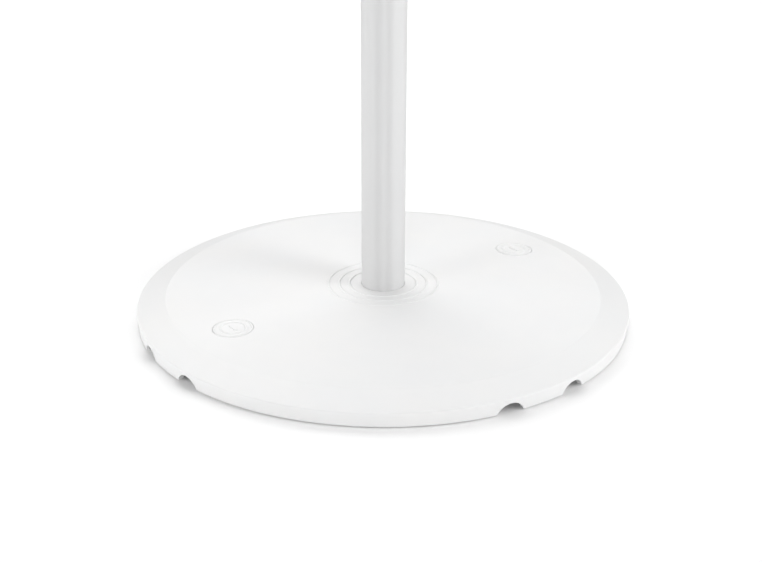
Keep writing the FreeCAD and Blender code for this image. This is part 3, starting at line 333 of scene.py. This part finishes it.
def moulded_black():
    look = Look("black_plastic", (0.028, 0.028, 0.03), 0.45)
    look.colour(look.noise(7, detail=4), (0.024, 0.024, 0.026), (0.045, 0.045, 0.047))
    look.roughness(look.noise(3, detail=4), 0.36, 0.55)
    look.bump(look.noise(0.3, detail=3), 0.012)
    return look.material


def phosphor():
    """Phosphor that glows very faintly: chalky, pale green-grey."""
    glow = {"Emission Color": (0.45, 0.75, 0.70, 1), "Emission Strength": 0.22}
    look = Look("phosphor", (0.34, 0.42, 0.38), 0.9, glow)
    look.colour(look.noise(0.5, detail=4), (0.36, 0.44, 0.40), (0.27, 0.34, 0.31))
    look.bump(look.noise(0.2, detail=3), 0.01)
    return look.material


def window_print():
    look = Look("window_print", (0.02, 0.02, 0.022), 0.5)
    look.colour(look.noise(4, detail=4), (0.018, 0.018, 0.02), (0.03, 0.03, 0.032))
    return look.material


def make_materials():
    return {
        "white_base": moulded_white("white_base", 0.78, 0.5, 0.6),
        "white_pole": drawn_tube("white_pole", 0.64, 0.5),
        # The head's and neck's moulded white is painted darker than the base's: painted shade that offsets
        # the stronger light near the soft boxes.
        "white_head": moulded_white("white_head", 0.60, 0.5, 0.8),
        "white_neck": moulded_white("white_neck", 0.62, 0.42, 0.5),
        "white_bracket": powder_coat("white_bracket", 0.60, 0.4),
        "plated_steel": plated("plated_steel", (0.66, 0.67, 0.69), 0.3),
        "raw_steel": plated("raw_steel", (0.42, 0.43, 0.44), 0.45, (1, 12, 1)),
        "grey_rubber": rubber("grey_rubber", 0.045),
        "friction_fibre": fibre(),
        "smoked_window": smoked_acrylic(),
        "tube_glass": float_glass(),
        "tube_frame": frit(),
        "foam": foam(),
        "circuit_board": circuit_board(),
        "black_plastic": moulded_black(),
        "can_metal": plated("can_metal", (0.75, 0.76, 0.78), 0.28, (1, 1, 10)),
        "contact_metal": plated("contact_metal", (0.83, 0.62, 0.28), 0.25),
    }


def dress_cad_nodes(materials):
    """Gives every CAD node the material of its slot in the record."""
    for row in frame["record"]["subparts"]:
        slots = frame["nodes"][row["node"]].data.materials
        slots.clear()
        slots.append(materials[row["material_slot"]])


# ---------------------------------------------------------------------------------------------------------
# Pieces that only the picture has
# ---------------------------------------------------------------------------------------------------------
def make_piece(name, points, faces, material, body):
    """A piece from its mesh, which rides with a body."""
    mesh = bpy.data.meshes.new(name)
    mesh.from_pydata(points, [], faces)
    mesh.materials.append(material)
    piece = link(bpy.data.objects.new(name, mesh))
    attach(piece, body)


def pad(points, faces, low, high, front, back, slope):
    """Adds a flat-topped pad that faces the front, with sloping sides, between two corners across and up."""
    start = len(points)
    corners = [(0, 0), (1, 0), (1, 1), (0, 1)]
    for level, inset in ((back, 0), (front, slope)):
        for right, top in corners:
            x = high[0] - inset if right else low[0] + inset
            z = high[1] - inset if top else low[1] + inset
            points.append((x, level, z))
    faces.append([start + 4, start + 5, start + 6, start + 7])
    for side in range(4):
        after = (side + 1) % 4
        faces.append([start + side, start + after, start + 4 + after, start + 4 + side])


def display_dots(material):
    """The dots of the display tube: a field of small pads for each character."""
    low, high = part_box("vfd_cell_frame")
    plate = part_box("vfd_back_glass")[0].y
    pitch = (high.x - low.x - 2 * TUBE_MARGIN) / CHARACTERS[0]
    line = (high.z - low.z - 2 * TUBE_MARGIN) / CHARACTERS[1]
    wide, tall = CHARACTER_FILL[0] * pitch / DOTS[0], CHARACTER_FILL[1] * line / DOTS[1]
    points, faces = [], []
    for column in range(CHARACTERS[0]):
        for row in range(CHARACTERS[1]):
            left = low.x + TUBE_MARGIN + (column + CHARACTER_GAP[0]) * pitch
            foot = low.z + TUBE_MARGIN + (row + CHARACTER_GAP[1]) * line
            for across in range(DOTS[0]):
                for up in range(DOTS[1]):
                    x, z = left + across * wide, foot + up * tall
                    far_corner = (x + DOT_FILL * wide, z + DOT_FILL * tall)
                    pad(points, faces, (x, z), far_corner, plate - DOT_HEIGHT, plate, DOT_SLOPE)
    make_piece("display_dots", points, faces, material, "head")


def filaments(material):
    """The fine wires that run along the tube in front of its dots."""
    low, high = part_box("vfd_cell_frame")
    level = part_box("vfd_back_glass")[0].y - FILAMENT_GAP
    length = high.x - low.x - 2 * FILAMENT_INSET
    sides, steps = 6, 12
    points, faces = [], []
    for share in FILAMENT_SHARES:
        start = len(points)
        for step in range(steps + 1):
            along = step / steps
            x = low.x + FILAMENT_INSET + along * length
            sag = FILAMENT_SAG * math.sin(math.pi * along)
            for side in range(sides):
                turn = 2 * math.pi * side / sides
                z = low.z + share * (high.z - low.z) - sag + FILAMENT_RADIUS * math.sin(turn)
                points.append((x, level + FILAMENT_RADIUS * math.cos(turn), z))
        for step in range(steps):
            for side in range(sides):
                a, b = start + step * sides + side, start + step * sides + (side + 1) % sides
                faces.append([a, b, b + sides, a + sides])
    make_piece("filaments", points, faces, material, "head")


def window_border(material):
    """The dark border printed on the inside of the window."""
    low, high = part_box("display_window")
    depth = high.y - BORDER_DEPTH
    corners = [(high.x, high.z), (low.x, high.z), (low.x, low.z), (high.x, low.z)]
    points, faces = [], []
    steps = 6
    for edge in BORDER_EDGES:
        for quarter, (corner_x, corner_z) in enumerate(corners):
            toward_x = -1 if corner_x == high.x else 1
            toward_z = -1 if corner_z == high.z else 1
            for step in range(steps + 1):
                turn = math.pi / 2 * (quarter + step / steps)
                x = corner_x + toward_x * (edge + BORDER_CORNER) + BORDER_CORNER * math.cos(turn)
                z = corner_z + toward_z * (edge + BORDER_CORNER) + BORDER_CORNER * math.sin(turn)
                points.append((x, depth, z))
    ring = 4 * (steps + 1)
    for step in range(ring):
        after = (step + 1) % ring
        faces.append([step, ring + step, ring + after, after])
    make_piece("window_border", points, faces, material, "head")


make_camera()
make_room()
make_soft_boxes()
make_floor()
MATERIALS = make_materials()
dress_cad_nodes(MATERIALS)
display_dots(phosphor())
filaments(plated("filament_wire", (0.62, 0.58, 0.52), 0.4))
window_border(window_print())
